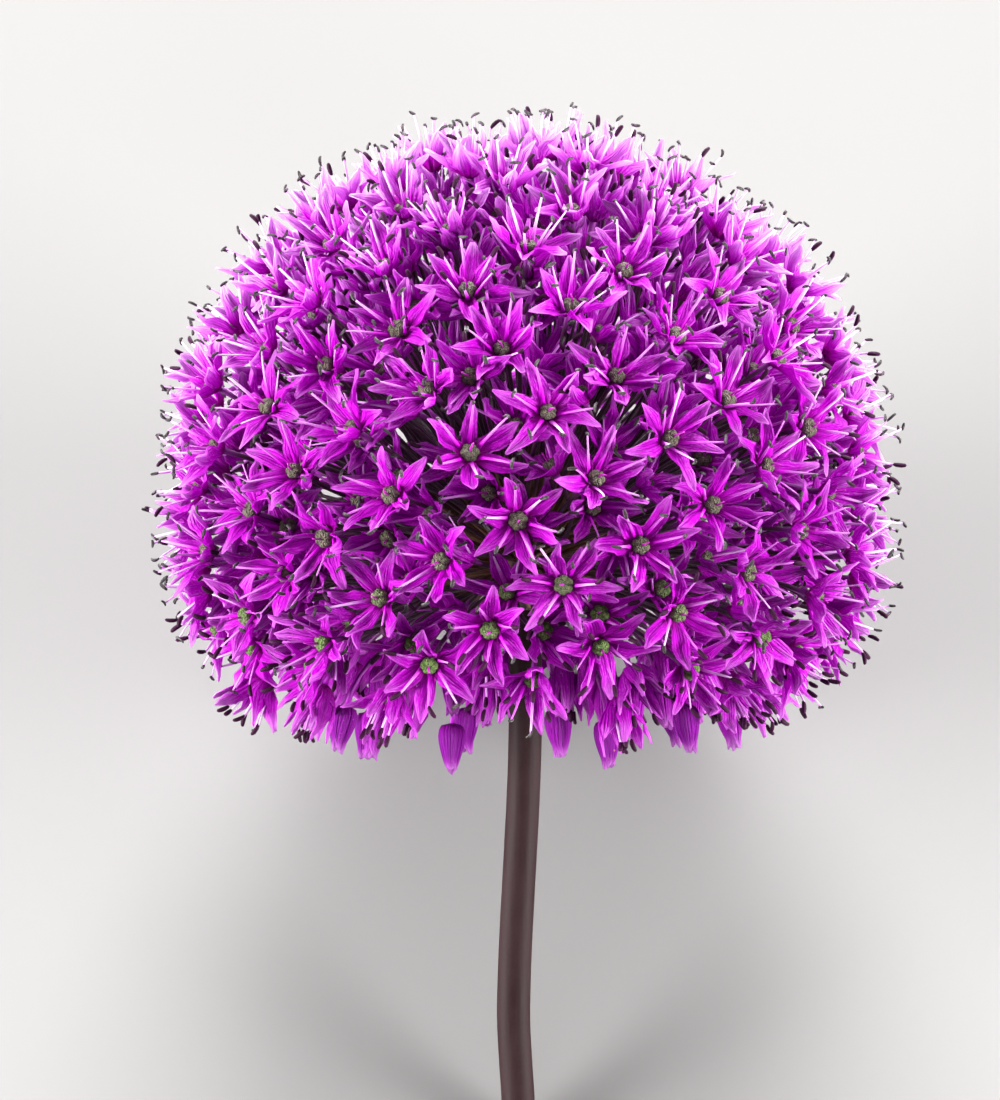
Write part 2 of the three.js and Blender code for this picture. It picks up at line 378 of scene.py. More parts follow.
def bean():
    """A small plump body of length 1 along x and radius 1 across it, with blunt ends."""
    bm = bmesh.new()
    bmesh.ops.create_uvsphere(bm, u_segments=7, v_segments=5, radius=1)
    for vert in bm.verts:
        plump = math.sqrt(1 + vert.co.z**2)
        vert.co = Vector((vert.co.x * plump, vert.co.y * plump, vert.co.z))
    bmesh.ops.rotate(bm, verts=bm.verts, matrix=Matrix.Rotation(math.pi / 2, 3, "Y"))
    bmesh.ops.translate(bm, verts=bm.verts, vec=(1, 0, 0))
    bmesh.ops.scale(bm, verts=bm.verts, vec=(0.5, 1, 1))
    return keep(bm, "bean")


def lobed_knob():
    """A squat knob of radius 1 with six lobes round z and a dimple on top."""

    def lobe_at(co):
        return abs(math.cos(TEPALS / 2 * math.atan2(co.y, co.x))) ** 0.6

    bm = bmesh.new()
    bmesh.ops.create_uvsphere(bm, u_segments=4 * TEPALS, v_segments=8, radius=1)
    for vert in bm.verts:
        flat = math.hypot(vert.co.x, vert.co.y)
        lobe = lobe_at(vert.co)
        swell = 0.88 + 0.14 * lobe
        dimple = max(0.0, vert.co.z) * (0.25 * (1 - flat) ** 1.5 + 0.1 * (1 - lobe) * flat)
        vert.co = Vector((vert.co.x * swell, vert.co.y * swell, 0.8 * vert.co.z - dimple))
    mesh = keep(bm, "knob")
    for vert, bulge in zip(mesh.vertices, mesh.attributes["across"].data):
        bulge.value = lobe_at(vert.co) * min(1.0, 2 * math.hypot(vert.co.x, vert.co.y))
    return mesh


def placed(bm, name, material):
    """Puts a bmesh into the scene as one object of one material."""
    mesh = bpy.data.meshes.new(name)
    bm.to_mesh(mesh)
    bm.free()
    mesh.materials.append(material)
    piece = bpy.data.objects.new(name, mesh)
    bpy.context.scene.collection.objects.link(piece)
    return piece


class Cluster:
    """One piece, gathered from many bent copies of small shapes."""

    def __init__(self, settings):
        self.lay = laid_down(settings)
        self.bm = bmesh.new()
        # Numbers that each vertex carries to the finishes; the fourth is a floret's paling, from
        # age and from painted light and shade.
        for name in ("along", "across", "age", "fade", "tint"):
            self.bm.verts.layers.float.new(name)

    def add(self, shape, bend, floret, tint):
        """Adds a copy of a shape for a floret, with each of its points moved by bend."""
        first = len(self.bm.verts)
        self.bm.from_mesh(shape)
        self.bm.verts.ensure_lookup_table()
        layers = self.bm.verts.layers.float
        age_layer, fade_and_painted_light_layer, tint_layer = layers["age"], layers["fade"], layers["tint"]
        for vert in self.bm.verts[first:]:
            vert.co = bend(vert.co)
            vert[age_layer] = floret.age
            vert[fade_and_painted_light_layer] = floret.fade
            vert[tint_layer] = tint

    def finish(self, name, material, slot, node="umbel"):
        """Lays the piece down, parents it to the root body and hides the model part that it
        replaces. Nothing sinks below the surface.
        """
        self.bm.transform(self.lay)
        for vert in self.bm.verts:
            vert.co.z = max(vert.co.z, 0.0)
        piece = placed(self.bm, name, material)
        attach(piece, "root")
        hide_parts(node)


def bow(start, middle, end):
    """A smooth bow from start to end, pulled towards middle: its point and slope at a share."""

    def point(share):
        rest = 1 - share
        return start * rest * rest + middle * 2 * rest * share + end * share * share

    def slope(share):
        return ((middle - start) * (1 - share) + (end - middle) * share).normalized()

    return point, slope


def along_bow(start, middle, end, side, radius_at, flatness=1.0):
    """A bend for rods: follows a bow, with its radius from a function of the share."""
    point, slope = bow(start, middle, end)

    def bend(co):
        heading = slope(co.x)
        across = (side - heading * side.dot(heading)).normalized()
        radius = radius_at(co.x)
        thick_way = heading.cross(across) * flatness
        return point(co.x) + (across * co.y + thick_way * co.z) * radius

    return bend


# ---- finishes


class Field:
    """A number that varies over a surface. Arithmetic on it adds Math nodes."""

    def __init__(self, finish, socket):
        self.finish = finish
        self.socket = socket

    def math(self, operation, *values):
        inputs = dict(enumerate(values))
        return self.finish.node("ShaderNodeMath", {"operation": operation}, inputs)

    def __add__(self, other):
        return self.math("ADD", self, other)

    def __radd__(self, other):
        return self.math("ADD", other, self)

    def __sub__(self, other):
        return self.math("SUBTRACT", self, other)

    def __rsub__(self, other):
        return self.math("SUBTRACT", other, self)

    def __mul__(self, other):
        return self.math("MULTIPLY", self, other)

    def __rmul__(self, other):
        return self.math("MULTIPLY", other, self)

    def __pow__(self, other):
        return self.math("POWER", self, other)

    def __abs__(self):
        return self.math("ABSOLUTE", self)

    def cos(self):
        return self.math("COSINE", self)

    def ease(self, start, end):
        """0 before start, 1 past end and a smooth step between."""
        settings = {"interpolation_type": "SMOOTHSTEP"}
        inputs = {"Value": self, "From Min": start, "From Max": end}
        return self.finish.node("ShaderNodeMapRange", settings, inputs)


class Finish:
    """A material and the nodes that give it its look."""

    def __init__(self, name):
        self.material = bpy.data.materials.new(name)
        self.material.use_nodes = True
        self.tree = self.material.node_tree
        self.tree.nodes.clear()
        self.place = self.node("ShaderNodeTexCoord", output="Object")

    def node(self, kind, settings=None, inputs=None, output=0):
        """Adds any node: its settings first, then the values or links of its sockets."""
        made = self.tree.nodes.new(kind)
        for name, value in (settings or {}).items():
            setattr(made, name, value)
        for name, value in (inputs or {}).items():
            if isinstance(value, Field):
                self.tree.links.new(value.socket, made.inputs[name])
            else:
                made.inputs[name].default_value = value
        return Field(self, made.outputs[output])

    def attribute(self, name):
        return self.node("ShaderNodeAttribute", {"attribute_name": name}, output="Fac")

    def noise(self, scale, detail=2.0, place=None):
        inputs = {"Vector": place or self.place, "Scale": scale, "Detail": detail}
        return self.node("ShaderNodeTexNoise", None, inputs)

    def joined(self, x, y, z):
        """A place made from three fields."""
        return self.node("ShaderNodeCombineXYZ", None, {"X": x, "Y": y, "Z": z})

    def stretched(self, x, y, z):
        """The place on the piece, scaled along each axis."""
        inputs = {"Vector": self.place, "Scale": (x, y, z)}
        return self.node("ShaderNodeMapping", None, inputs)

    def blend(self, share, low, high):
        """A colour between low and high."""
        inputs = {0: share, 6: rgba(low), 7: rgba(high)}
        return self.node("ShaderNodeMix", {"data_type": "RGBA"}, inputs, output=2)

    def bump(self, height, strength, distance):
        inputs = {"Height": height, "Strength": strength, "Distance": distance}
        return self.node("ShaderNodeBump", None, inputs)

    def skin(self, colour, roughness, normal, gloss=0.5):
        """A plant's skin: a coloured, slightly glossy surface."""
        inputs = {"Base Color": colour, "Roughness": roughness, "Normal": normal}
        inputs["Specular IOR Level"] = gloss
        return self.node("ShaderNodeBsdfPrincipled", None, inputs)

    def thin(self, skin, colour, share):
        """A skin so thin that it lets that share of the light through."""
        glow = self.node("ShaderNodeBsdfTranslucent", None, {"Color": colour})
        return self.node("ShaderNodeMixShader", None, {0: share, 1: skin, 2: glow})

    def show(self, shader):
        end = self.tree.nodes.new("ShaderNodeOutputMaterial")
        self.tree.links.new(shader.socket, end.inputs["Surface"])
        return self.material


def rgba(colour):
    """A colour as a node socket takes it; a field passes through."""
    return colour if isinstance(colour, Field) else (*colour[:3], 1.0)


def tepal_finish(colours):
    """Thin purple tepals: a dark midrib, fine veins, paler edges and light through them, with
    painted backlit paleness at the crown and sides and painted shade in the throat.
    """
    look = Finish("tepal skin")
    along, across = look.attribute("along"), look.attribute("across")
    age, fade, tint = (look.attribute(name) for name in ("age", "fade", "tint"))
    youth = 1 - age.ease(0.03, 0.12)
    wander = look.noise(520, 3.0) - 0.5
    off_midrib = abs(across - 0.5 + wander * 0.02)
    midrib = 1 - off_midrib.ease(0.01, 0.06)
    veins = ((across * 44 + wander * 2.2).cos() * 0.5 + 0.5) ** 3.0
    veins = veins * along.ease(0.02, 0.2) * (1 - along.ease(0.8, 1.0))
    streaks = look.noise(1.0, 4.0, look.joined(along * 2.0, across * 14, tint * 40 + age * 30))
    fibres = look.noise(1.0, 2.0, look.joined(along * 16, across * 30, tint * 70))
    mottle = look.noise(2200, 3.0)
    # Paler edges, tips and streaks, with a little painted light from the floret's paling.
    pale = off_midrib.ease(0.3, 0.5) * 0.25 + along.ease(0.5, 1.0) * 0.4 + fade * 0.1
    pale = pale + (tint - 0.5) * 0.6 + (streaks - 0.5) * 2.4 + (fibres - 0.5) * 2.2
    pale = pale + (mottle - 0.5) * 0.8
    pale = pale.ease(0.12, 1.1) * (1 - youth * 0.85)
    base = look.blend(pale, colours.tepal_main, colours.tepal_pale)
    lines = (1 - streaks.ease(0.36, 0.52)) * 0.5 + midrib * 0.4 + veins * 0.2
    # Dark midrib, veins and streaks, painted fainter where painted light pales the floret.
    base = look.blend(lines * (1 - fade * 0.7), base, colours.vein)
    # Paler tips: every tepal and bud has a pale tip; at the crown and sides a painted highlight
    # makes them paler still.
    tips = along.ease(0.72, 1.0) * (fade.ease(0.25, 0.6) * 0.55 + 0.25)
    tips = tips + youth * along.ease(0.88, 1.0) * 0.4
    # Painted backlight: the crown and side florets are painted pale lilac from their middles out,
    # as if lit from behind.
    crown = fade.ease(0.45, 0.9) * along.ease(0.35, 0.9) + tips
    base = look.blend(crown * streaks.ease(0.2, 0.6) * 0.9, base, colours.tepal_lilac_and_backlight)
    # Painted shade: the tepals darken towards the floret's throat, where shade falls.
    throat = 1 - along.ease(0.06, 0.45)
    base = look.blend(throat * 0.8, base, colours.tepal_deep_and_throat_shade)
    base = look.blend(youth * (0.85 - along.ease(0.8, 1.0) * 0.5), base, colours.bud)
    specks = look.noise(2200, 1.0).ease(0.71, 0.76) * tint.ease(0.66, 0.76)
    base = look.blend(specks * 0.6, base, colours.speck)
    ridges = midrib * 0.8 - veins * 0.5 + streaks * 1.2 + fibres * 0.5 + mottle * 0.5
    normal = look.bump(ridges, 0.9, 0.0003)
    roughness = 0.4 + mottle * 0.2 + veins * 0.08
    skin = look.skin(base, roughness, normal, gloss=0.1)
    return look.show(look.thin(skin, base, 0.45))


def filament_finish(colours):
    """Satin filaments: purple at the foot and near white above, painted paler as if lit at the
    crown and sides.
    """
    look = Finish("filament skin")
    along, fade, tint = (look.attribute(name) for name in ("along", "fade", "tint"))
    streaks = look.noise(1500, 2.0)
    pinkness = (1 - along.ease(0.1, 0.7)) * 0.8 + tint * 0.4 + (streaks - 0.5) * 0.3
    # Partly painted light: filaments at the crown and sides are painted pale as if lit; some others
    # are pale at random.
    paleness_and_painted_light = fade.ease(0.24, 0.62) + (1 - tint.ease(0.0, 0.3)) * 0.7
    base = look.blend(paleness_and_painted_light, colours.filament, colours.filament_pale_and_painted_light)
    base = look.blend(pinkness.ease(0.0, 1.0), base, colours.tepal_main)
    normal = look.bump(streaks, 0.3, 0.0001)
    skin = look.skin(base, 0.36 + streaks * 0.12, normal, gloss=0.25)
    return look.show(look.thin(skin, base, 0.25))


def fresh_anther_finish(colours):
    """Closed anthers: purple-black, with a paler seam down their length."""
    look = Finish("fresh anther")
    across = look.attribute("across")
    seam = 1 - abs(across - 0.5).ease(0.02, 0.12)
    grain = look.noise(3200, 2.0)
    base = look.blend(seam * 0.06 + grain * 0.04, colours.anther_fresh, colours.vein)
    normal = look.bump(grain - seam, 0.5, 0.0001)
    return look.show(look.skin(base, 0.5 + grain * 0.2, normal, gloss=0.1))


def spent_anther_finish(colours):
    """Curled anthers: grey-green husks dusted with pale pollen, and a painted highlight along their
    rims.
    """
    look = Finish("spent anther")
    across, tint = look.attribute("across"), look.attribute("tint")
    grain = look.noise(3600, 3.0)
    # Paler towards the rims: pollen dust, and a painted highlight along the curled rims.
    dust_and_rim_highlight = (grain + abs(across - 0.5).ease(0.25, 0.5) * 0.2).ease(0.5, 0.75)
    base = look.blend(tint.ease(0.4, 1.0) * 0.8, colours.anther_spent, colours.anther_fresh)
    base = look.blend(dust_and_rim_highlight * 0.7, base, colours.pollen)
    normal = look.bump(grain, 0.8, 0.00015)
    return look.show(look.skin(base, 0.75 + grain * 0.15, normal, gloss=0.2))


def ovary_finish(colours):
    """Lobed ovaries: grainy green, with painted shade in the furrows, and greyer with age."""
    look = Finish("ovary skin")
    age, bulge = look.attribute("age"), look.attribute("across")
    inputs = {"Vector": look.place, "Scale": 4200.0}
    cells = look.node("ShaderNodeTexVoronoi", None, inputs, output="Distance")
    mottle = look.noise(1400, 2.0)
    base = look.blend(age.ease(0.15, 0.36), colours.ovary_young, colours.ovary_old)
    # Painted shade: the furrows between the lobes darken towards the fresh anthers' purple-black.
    base = look.blend((1 - bulge.ease(0.1, 0.8)) * 0.45, base, colours.anther_fresh)
    base = look.blend(mottle.ease(0.4, 0.7) * 0.3, base, colours.bloom)
    base = look.blend((1 - mottle.ease(0.3, 0.5)) * 0.12, base, colours.tepal_deep_and_throat_shade)
    normal = look.bump(1 - cells, 1.0, 0.0005)
    return look.show(look.skin(base, 0.5 + cells * 0.2, normal, gloss=0.3))


def style_finish(colours):
    """Short magenta styles."""
    look = Finish("style skin")
    grain = look.noise(2200, 2.0)
    base = look.blend(grain, colours.vein, colours.tepal_deep_and_throat_shade)
    return look.show(look.skin(base, 0.4 + grain * 0.15, look.bump(grain, 0.3, 0.0001)))


def stalk_finish(colours):
    """Flower stalks: purple-brown with pale streaks, tan at the foot, purple at the neck."""
    look = Finish("stalk skin")
    along, tint = look.attribute("along"), look.attribute("tint")
    streaks = look.noise(1300, 3.0)
    waxy = (tint * 0.5 + streaks * 0.6).ease(0.5, 0.85) * 0.35
    base = look.blend(waxy, colours.stalk_dark, colours.bloom)
    foot = 1 - along.ease(0.06, 0.32)
    base = look.blend(foot * (0.3 + tint * 0.6), base, colours.stalk_tan)
    youth = 1 - look.attribute("age").ease(0.05, 0.2)
    flush = along.ease(0.9, 1.0) * 0.6 + youth * along.ease(0.5, 0.9) * 0.7
    base = look.blend(flush, base, colours.vein)
    normal = look.bump(streaks, 0.4, 0.0001)
    return look.show(look.skin(base, 0.42 + streaks * 0.2, normal, gloss=0.3))


def receptacle_finish(colours):
    """The swollen top of the stem: tan, scarred between the stalks."""
    look = Finish("receptacle skin")
    grain = look.noise(900, 3.0)
    base = look.blend(grain.ease(0.35, 0.65), colours.stalk_tan, colours.stalk_dark)
    return look.show(look.skin(base, 0.6 + grain * 0.2, look.bump(grain, 0.6, 0.0003)))


def stem_finish(colours):
    """The stem: brown-purple under a waxy bloom, with fine lengthwise lines; pale where cut."""
    look = Finish("stem skin")
    along, cut = look.attribute("along"), look.attribute("tint")
    lines = look.noise(1100, 3.0, look.stretched(1.0, 0.05, 0.05))
    clouds = look.noise(160, 4.0)
    grain = look.noise(2400, 2.0)
    bloom = (clouds * 1.1 + lines * 0.6 + grain * 0.5).ease(0.8, 1.4)
    base = look.blend(bloom * 0.9 + along * 0.1, colours.stem, colours.bloom)
    flesh = look.blend(grain.ease(0.55, 0.7) * 0.5, colours.flesh, colours.ovary_young)
    base = look.blend(cut.ease(0.4, 0.9), base, flesh)
    normal = look.bump(lines + grain * 0.2, 0.35, 0.0002)
    return look.show(look.skin(base, 0.55 + clouds * 0.2, normal, gloss=0.1))


def floor_finish(colours):
    """A plain pale surface."""
    look = Finish("pale floor")
    grain = look.noise(6, 2.0)
    base = look.blend(grain * 0.06, colours.floor, (0.7, 0.7, 0.7))
    normal = look.bump(grain, 0.05, 0.001)
    return look.show(look.skin(base, 0.8 + grain * 0.1, normal, gloss=0.0))


# ---- the pieces


def bud_tepal_bend(floret, k, sizes):
    """Bends a blade round a closed bud: swollen near the stalk and drawn in at the mouth."""
    chance = [draw(floret.index * TEPALS + k, purpose) for purpose in range(11, 14)]
    length = sizes.bud_length * mix(0.92, 1.0, chance[0])
    mouth = mix(0.0, 0.35, chance[1]) * MM
    gap = 0.12 * (k % 2) * MM
    side = floret.axis.cross(floret.spoke(k))

    def out(share):
        swell = math.sin(math.pi * math.sqrt(min(1.0, max(0.0, share)))) ** 0.75
        return sizes.bud_radius * swell + mouth * share**2 + gap + 0.2 * MM

    def point(share):
        return floret.at(k, out(share), length * share - sizes.stalk_end)

    def bend(co):
        share = co.x**1.5
        radius = out(share)
        width = min(1.6 * MM, 0.8 * radius + 0.15 * MM) * (1 - 0.6 * ease(0.88, 1.0, share))
        sag = 0.8 * (co.y * width) ** 2 / radius
        heading = (point(share + 0.02) - point(share - 0.02)).normalized()
        curl = 1.1 * (chance[2] - 0.2) * MM * ease(0.85, 1.0, share)
        return point(share) + side * co.y * width + heading.cross(side) * (sag + co.z - curl)

    return bend


def tepal_bend(floret, k, sizes):
    """Bends a blade into tepal k: boat-shaped, narrow at its foot and pointed at its tip."""
    chance = [draw(floret.index * TEPALS + k, purpose) for purpose in range(11, 20)]
    freedom = mix(0.3, 1.0, ease(math.radians(30), math.radians(48), floret.spread))
    spread = floret.spread + freedom * math.radians(30) * (chance[0] - 0.6)
    length = sizes.tepal_length * mix(0.84, 1.0, chance[1])
    start = floret.at(k, (0.6 + 0.1 * (k % 2)) * MM, -0.7 * MM)
    end = floret.point(k + 0.4 * freedom * (chance[2] - 0.5), length, spread)
    shut = 1 - ease(SHUT_SPREAD, OPEN_SPREAD, floret.spread)
    out = mix(2.6 + 1.6 * (chance[3] - 0.5), 3.1, shut) * MM
    middle = floret.at(k, out, mix(0.4 + 0.8 * (chance[4] - 0.5), 0.2, shut) * MM)
    point, slope = bow(start, middle, end)
    side = floret.axis.cross(floret.spoke(k))
    half = sizes.tepal_width / 2 * mix(0.86, 1.08, chance[5])
    fullness = mix(2.0, 3.4, chance[6])
    tip = mix(0.06, 0.22, chance[7])
    beak = mix(-0.7, 1.1, chance[8]) * MM
    hook = mix(-1.9, 1.3, chance[4]) * MM * freedom
    swing = 1.8 * (chance[1] - 0.5) * MM * freedom
    twist = 1.5 * freedom * (chance[3] - 0.5)
    fold = sizes.fold * mix(0.6, 1.6, chance[2])

    def bend(co):
        share, across = co.x, co.y
        heading = slope(share)
        inward = heading.cross(side)
        taper = min(1.0, max(0.0, (share - 0.42) / 0.58))
        width = half * (0.36 + 0.64 * ease(0.0, 0.5, share))
        width *= max(tip, (1 - taper**fullness) ** 0.8)
        roll = twist * share
        flat = side * math.cos(roll) + inward * math.sin(roll)
        rise = inward * math.cos(roll) - side * math.sin(roll)
        cup = fold * width * abs(across) ** 1.3 * (1 + 0.5 * share)
        late = ease(0.55, 1.0, share) * share
        ruffle = 0.4 * width * across * math.sin(12 * share + 6 * chance[0])
        peck = beak * ease(0.8, 1.0, share)
        lead = flat * (across * width + swing * late + 0.6 * peck)
        return point(share) + lead + rise * (cup + ruffle + hook * late + peck + co.z)

    return bend


def tepals(florets, settings):
    """All tepals of some florets, as one cluster."""
    cluster = Cluster(settings)
    sizes = settings.floret
    open_blade = blade(7, 4, sizes.tepal_thickness)
    bud_blade = blade(9, 4, sizes.tepal_thickness)
    for floret in florets:
        closed = floret.closed
        shape, shaping = (bud_blade, bud_tepal_bend) if closed else (open_blade, tepal_bend)
        for k in range(TEPALS):
            tint = 0.6 * draw(floret.index, 21) + 0.4 * draw(floret.index * TEPALS + k, 22)
            cluster.add(shape, shaping(floret, k, sizes), floret, tint)
    return cluster


def stamen_line(floret, k, sizes):
    """Foot, bowed middle and end of filament k."""
    key = floret.index * TEPALS + k
    turn = k + 0.3 * (draw(key, 31) - 0.5)
    angle = floret.stamen_spread + math.radians(10) * (draw(key, 32) - 0.5)
    angle = max(angle, math.radians(4))
    length = sizes.stamen_length - sizes.anther_length * (0.2 if is_spent(floret, k) else 0.9)
    foot = floret.at(k, 1.2 * MM, 0.1 * MM)
    end = floret.point(turn, length * mix(0.88, 1.0, draw(key, 33)), angle)
    middle = foot.lerp(end, 0.5) + floret.axis * mix(-0.2, 0.9, draw(key, 34)) * MM
    return foot, middle, end


def filaments(florets, settings):
    """The filaments of the open florets, thick at the foot and fine at the tip."""
    cluster = Cluster(settings)
    sizes = settings.floret
    shape = rod(5, 4)

    def radius_at(share):
        return mix(sizes.filament_foot, sizes.filament_tip, share**0.4)

    for floret in florets:
        for k in range(TEPALS):
            foot, middle, end = stamen_line(floret, k, sizes)
            flat_way = floret.axis.cross(floret.spoke(k))
            bend = along_bow(foot, middle, end, flat_way, radius_at, 0.6)
            cluster.add(shape, bend, floret, draw(floret.index * TEPALS + k, 35))
    return cluster


def anther_bend(floret, k, sizes, spent):
    """A bean on the end of filament k: a spent one lies across it, shrunken and curled."""
    key = floret.index * TEPALS + k
    _, middle, end = stamen_line(floret, k, sizes)
    heading = (end - middle).normalized()
    swing = math.radians(360) * draw(key, 41)
    side = Matrix.Rotation(swing, 3, heading) @ floret.spoke(k).cross(heading).normalized()
    nod = math.radians(95 - 55 * draw(key, 42)) if spent else math.radians(50) * draw(key, 42)
    long_way = heading * math.cos(nod) + side * math.sin(nod)
    wide_way = heading.cross(long_way).normalized()
    high_way = long_way.cross(wide_way)
    length = sizes.anther_length * (mix(0.6, 0.85, draw(key, 43)) if spent else 1.0)
    half = sizes.anther_width / 2 * (mix(0.6, 0.75, draw(key, 44)) if spent else 1.0)
    curl = mix(-0.15, 0.35, draw(key, 45)) * length if spent else 0.08 * length
    ahead = mix(-0.3, 0.3, draw(key, 48)) * length if spent else 0.38 * length

    def bend(co):
        share = co.x - 0.5
        groove = 1 - 0.25 * (1 - abs(co.y)) * (co.z > 0)
        return (
            end
            + long_way * (share * length + ahead)
            + wide_way * (co.y * half)
            + high_way * (co.z * half * groove - curl * (4 * share * share - share - 0.3))
        )

    return bend


def is_spent(floret, k):
    """Whether anther k has shed its pollen: few have low on the head, and most have above."""
    share = mix(0.1, 0.95, ease(0.15, 0.34, floret.age)) - 0.1 * ease(0.6, 0.9, floret.age)
    share *= mix(0.75, 1.1, draw(floret.index, 49))
    return floret.spread > math.radians(40) and draw(floret.index * TEPALS + k, 46) < share


def anthers(florets, settings, spent):
    """All anthers of one kind."""
    cluster = Cluster(settings)
    shape = bean()
    for floret in florets:
        for k in range(TEPALS):
            if is_spent(floret, k) == spent:
                bend = anther_bend(floret, k, settings.floret, spent)
                cluster.add(shape, bend, floret, draw(floret.index * TEPALS + k, 47))
    return cluster


def ovaries(florets, settings):
    """The six-lobed ovary in each open floret."""
    cluster = Cluster(settings)
    shape = lobed_knob()
    for floret in florets:
        radius = settings.floret.ovary_radius * mix(0.9, 1.08, draw(floret.index, 51))
        turned = floret.spoke(0.5)
        across = floret.axis.cross(turned)

        def bend(co):
            ahead = floret.axis * (co.z * radius + 0.75 * MM)
            return floret.heart + (turned * co.x + across * co.y) * radius + ahead

        cluster.add(shape, bend, floret, draw(floret.index, 52))
    return cluster


def styles(florets, settings):
    """The short style on each ovary."""
    cluster = Cluster(settings)
    shape = rod(5, 3)
    length = settings.floret.style_length

    def radius_at(share):
        return mix(0.19, 0.1, share) * MM

    for floret in florets:
        foot = floret.at(0, 0, 1.3 * MM)
        ahead = 1.3 * MM + length * mix(0.7, 1.3, draw(floret.index, 53))
        tip = floret.at(6 * draw(floret.index, 54), 0.5 * MM, ahead)
        middle = floret.at(0, 0, ahead - 0.4 * length)
        bend = along_bow(foot, middle, tip, floret.side, radius_at)
        cluster.add(shape, bend, floret, draw(floret.index, 55))
    return cluster


def stalks(florets, settings):
    """The flower stalks, from inside the receptacle to each floret."""
    cluster = Cluster(settings)
    sizes = settings.stalk
    shape = rod(6, 9)
    for floret in florets:
        neck_radius = sizes.radius if floret.closed else sizes.neck_radius

        def radius_at(share):
            return mix(sizes.radius * mix(0.85, 1.0, share), neck_radius, ease(0.93, 1.0, share))

        behind = settings.floret.stalk_end if floret.closed else 0.7 * MM
        top = floret.at(0, 0, -behind)
        foot = top.normalized() * sizes.root
        middle = top - floret.axis * (sizes.sway * (top - foot).length)
        bend = along_bow(foot, middle, top, floret.side, radius_at)
        cluster.add(shape, bend, floret, draw(floret.index, 61))
    return cluster


def turned_profile(bm, profile, steps):
    """Spins a profile of (radius, height) round z into a closed body."""
    verts = [bm.verts.new((radius, 0, height)) for radius, height in profile]
    edges = [bm.edges.new(pair) for pair in zip(verts, verts[1:])]
    bmesh.ops.spin(
        bm,
        geom=verts + edges,
        axis=(0, 0, 1),
        cent=(0, 0, 0),
        angle=2 * math.pi,
        steps=steps,
        use_merge=True,
    )
    bmesh.ops.remove_doubles(bm, verts=bm.verts, dist=1e-6)
    bmesh.ops.recalc_face_normals(bm, faces=bm.faces)
    for face in bm.faces:
        face.smooth = True


def receptacle(settings):
    """The swelling that closes over the stem's top and bears the flower stalks."""
    cluster = Cluster(settings)
    outline = [(0, 5.3), (2.9, 4.8), (4.9, 2.6), (5.6, 0), (4.8, -2.8), (3.1, -5)]
    outline += [(2.56, -6.8), (0, -6.8)]
    profile = [(radius * MM, height * MM) for radius, height in outline]
    turned_profile(cluster.bm, profile, 32)
    return cluster


def stem_middle(stem, drop):
    """The stem's centre line at that depth below the receptacle: a gentle bow."""
    lean = stem.lean * ease(22 * MM, 70 * MM, drop)
    recovery = stem.recovery * ease(66 * MM, 86 * MM, drop)
    return Vector((recovery - lean, 0, -drop))


def stem_body(settings):
    """The bare stem: a round section drawn down its gently bowed centre line."""
    stem = settings.stem
    cluster = Cluster(settings)
    bm = cluster.bm
    ring = bmesh.ops.create_circle(bm, cap_ends=True, segments=40, radius=stem.radius)["verts"]
    bmesh.ops.translate(bm, verts=ring, vec=stem_middle(stem, stem.top))
    layers = bm.verts.layers.float
    faces = bm.faces[:]
    steps = 48
    for step in range(1, steps + 1):
        drop = mix(stem.top, stem.length, step / steps)
        before = stem_middle(stem, mix(stem.top, stem.length, (step - 1) / steps))
        grown = bmesh.ops.extrude_face_region(bm, geom=faces)["geom"]
        verts = [v for v in grown if isinstance(v, bmesh.types.BMVert)]
        bmesh.ops.delete(bm, geom=faces, context="FACES_ONLY")
        faces = [f for f in grown if isinstance(f, bmesh.types.BMFace)]
        bmesh.ops.translate(bm, verts=verts, vec=stem_middle(stem, drop) - before)
        for vert in verts:
            vert[layers["along"]] = step / steps
    for face in bm.faces:
        face.smooth = len(face.verts) == 4
    bmesh.ops.inset_individual(bm, faces=faces, thickness=0.25 * MM)
    for vert in faces[0].verts:
        vert[layers["tint"]] = 1.0
    bmesh.ops.recalc_face_normals(bm, faces=bm.faces)
    return cluster


# ---- operators


class ALLIUM_OT_stem(bpy.types.Operator):
    """The bare stem, from the receptacle to its cut end."""

    bl_idname = "allium.stem"
    bl_label = "Stem"

    def execute(self, context):
        settings = context.scene.allium
        stem_body(settings).finish("stem", stem_finish(settings.colours), "stem", "scape")
        return {"FINISHED"}


class ALLIUM_OT_stalks(bpy.types.Operator):
    """The receptacle and the flower stalks that spring from it."""

    bl_idname = "allium.stalks"
    bl_label = "Receptacle and flower stalks"

    def execute(self, context):
        settings = context.scene.allium
        colours = settings.colours
        receptacle(settings).finish("receptacle", receptacle_finish(colours), "stalks")
        stalk_cluster = stalks(all_florets(settings), settings)
        stalk_cluster.finish("flower_stalks", stalk_finish(colours), "stalks")
        return {"FINISHED"}


class ALLIUM_OT_tepals(bpy.types.Operator):
    """The tepals of all florets, open, half open and closed, in four tiers."""

    bl_idname = "allium.tepals"
    bl_label = "Tepals"

    def execute(self, context):
        settings = context.scene.allium
        material = tepal_finish(settings.colours)
        florets = all_florets(settings)
        third = math.ceil(len(florets) / 3)
        tiers = {
            "crown_tepals": florets[:third],
            "side_tepals": florets[third : 2 * third],
            "lower_tepals": [f for f in florets[2 * third :] if not f.closed],
            "bud_tepals": [f for f in florets if f.closed],
        }
        for name, tier in tiers.items():
            tepals(tier, settings).finish(name, material, "tepals")
        return {"FINISHED"}


